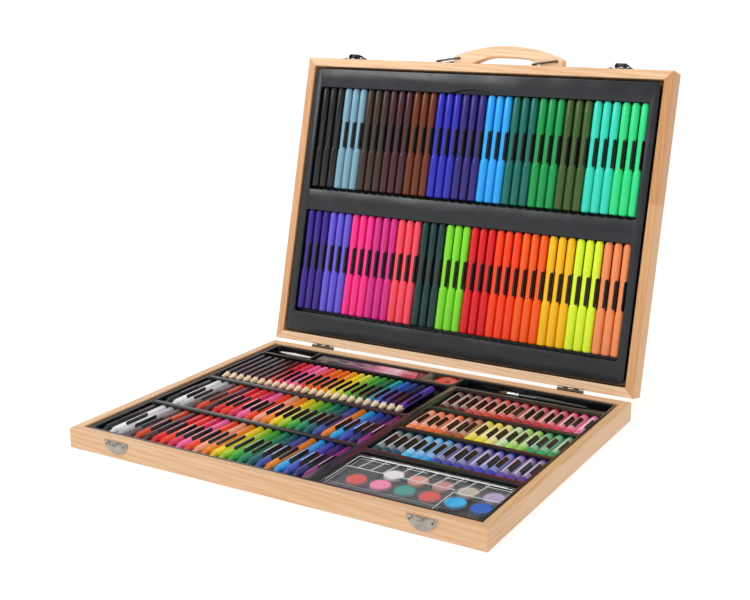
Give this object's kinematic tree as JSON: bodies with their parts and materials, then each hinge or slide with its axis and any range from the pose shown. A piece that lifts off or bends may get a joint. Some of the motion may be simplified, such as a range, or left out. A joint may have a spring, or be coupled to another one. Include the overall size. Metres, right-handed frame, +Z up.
{
  "type": "wooden art set case",
  "caption": "Shallow wooden case, open on two hinges, with a lid tray of markers, a base tray of pencils, crayons and pastels, a paint box, draw catches and an arched handle.",
  "frame": {"origin": "centre of the base's underside, on the surface the case lies on", "axes": "+X to the right along the hinge line, +Y to the back where the hinges are, +Z up"},
  "size_m": [0.46, 0.4671, 0.3806],
  "materials": {
    "rail_wood": "satin lacquered pale beech",
    "panel_wood": "thin lacquered plywood",
    "handle_wood": "satin lacquered beech",
    "plated_steel": "plated, satin",
    "nickel_plate": "nickel plated, slightly dull",
    "black_sheet": "glossy formed sheet",
    "grey_sheet": "satin formed sheet",
    "wax": "smooth wax in many colours",
    "pencil_wood": "painted barrels in many colours",
    "pastel_stick": "sticks in many colours with paper wraps",
    "clear_plastic": "clear moulded",
    "paint": "dry cakes in many colours",
    "brush_paint": "painted wood",
    "ferrule_metal": "drawn",
    "bristle": "soft hair",
    "red_plastic": "glossy moulded",
    "film": "glossy film",
    "marker_cap": "moulded in many colours",
    "marker_body": "moulded in many colours"
  },
  "bodies": {
    "base": {"base_back_rail": "rail_wood", "base_bottom_panel": "panel_wood", "base_front_rail": "rail_wood", "base_left_rail": "rail_wood", "base_right_rail": "rail_wood", "base_tray": "black_sheet", "brush_ferrules": "ferrule_metal", "brush_handles": "brush_paint", "brush_tips": "bristle", "crayons_front": "wax", "crayons_middle": "wax", "film_packet": "film", "hinge_lower_leaves": "plated_steel", "hinge_lower_screws": "plated_steel", "hinge_pins": "plated_steel", "paint_box_pin": "clear_plastic", "paint_cakes": "paint", "paint_tray": "clear_plastic", "pastels_front": "pastel_stick", "pastels_middle": "pastel_stick", "pastels_rear": "pastel_stick", "pencils": "pencil_wood", "sharpener_body": "red_plastic", "sharpener_lid": "red_plastic", "strike_plates": "nickel_plate", "strike_screws": "nickel_plate"},
    "lid": {"lid_front_rail": "rail_wood", "lid_back_rail": "rail_wood", "lid_left_rail": "rail_wood", "lid_right_rail": "rail_wood", "lid_top_panel": "panel_wood", "hinge_upper_leaves": "plated_steel", "hinge_upper_screws": "plated_steel", "lid_tray": "grey_sheet", "marker_caps_lower": "marker_cap", "marker_barrels_lower": "marker_body", "marker_caps_upper": "marker_cap", "marker_barrels_upper": "marker_body", "latch_plates": "nickel_plate", "latch_screws": "nickel_plate", "latch_rivets": "nickel_plate", "handle_eye_plates": "nickel_plate", "handle_eye_screws": "nickel_plate"},
    "paint_cover": {"paint_cover": "clear_plastic"},
    "left_latch_lever": {"left_latch_lever": "nickel_plate"},
    "left_latch_loop": {"left_latch_loop": "nickel_plate"},
    "right_latch_lever": {"right_latch_lever": "nickel_plate"},
    "right_latch_loop": {"right_latch_loop": "nickel_plate"},
    "left_bail": {"left_bail": "nickel_plate"},
    "right_bail": {"right_bail": "nickel_plate"},
    "handle": {"handle_grip": "handle_wood"}
  },
  "joints": [
    {"name": "lid_hinge", "type": "hinge", "parent": "base", "child": "lid", "pos_m": [0, 0.1766, 0.02115], "axis": [-1, 0, 0], "range_deg": [-104.2, 0]},
    {"name": "paint_cover_hinge", "type": "hinge", "parent": "base", "child": "paint_cover", "pos_m": [0.1349, -0.0824, 0.0159], "axis": [-1, 0, 0], "range_deg": [0, 95]},
    {"name": "left_lever_pivot", "type": "hinge", "parent": "lid", "child": "left_latch_lever", "pos_m": [-0.169, 0.26722, 0.36317], "axis": [1, 0, 0], "range_deg": [0, 120]},
    {"name": "left_loop_pivot", "type": "hinge", "parent": "left_latch_lever", "child": "left_latch_loop", "pos_m": [-0.169, 0.27159, 0.3633], "axis": [-1, 0, 0], "range_deg": [-180, 0]},
    {"name": "right_lever_pivot", "type": "hinge", "parent": "lid", "child": "right_latch_lever", "pos_m": [0.169, 0.26722, 0.36317], "axis": [1, 0, 0], "range_deg": [0, 120]},
    {"name": "right_loop_pivot", "type": "hinge", "parent": "right_latch_lever", "child": "right_latch_loop", "pos_m": [0.169, 0.27159, 0.3633], "axis": [-1, 0, 0], "range_deg": [-180, 0]},
    {"name": "left_bail_pivot", "type": "hinge", "parent": "lid", "child": "left_bail", "pos_m": [-0.055, 0.27538, 0.35997], "axis": [0, -0.9694, 0.2453], "range_deg": [0, 150]},
    {"name": "handle_pivot", "type": "hinge", "parent": "left_bail", "child": "handle", "pos_m": [-0.02687, 0.27651, 0.36443], "axis": [0, -0.9694, 0.2453], "range_deg": [-150, 0]},
    {"name": "right_bail_pivot", "type": "hinge", "parent": "lid", "child": "right_bail", "pos_m": [0.066, 0.27538, 0.35997], "axis": [0, -0.9694, 0.2453], "range_deg": [0, 150]}
  ],
  "couplings": [
    {"joint": "handle_pivot", "follows": "left_bail_pivot", "ratio": -1},
    {"joint": "right_bail_pivot", "follows": "left_bail_pivot", "ratio": 1}
  ]
}
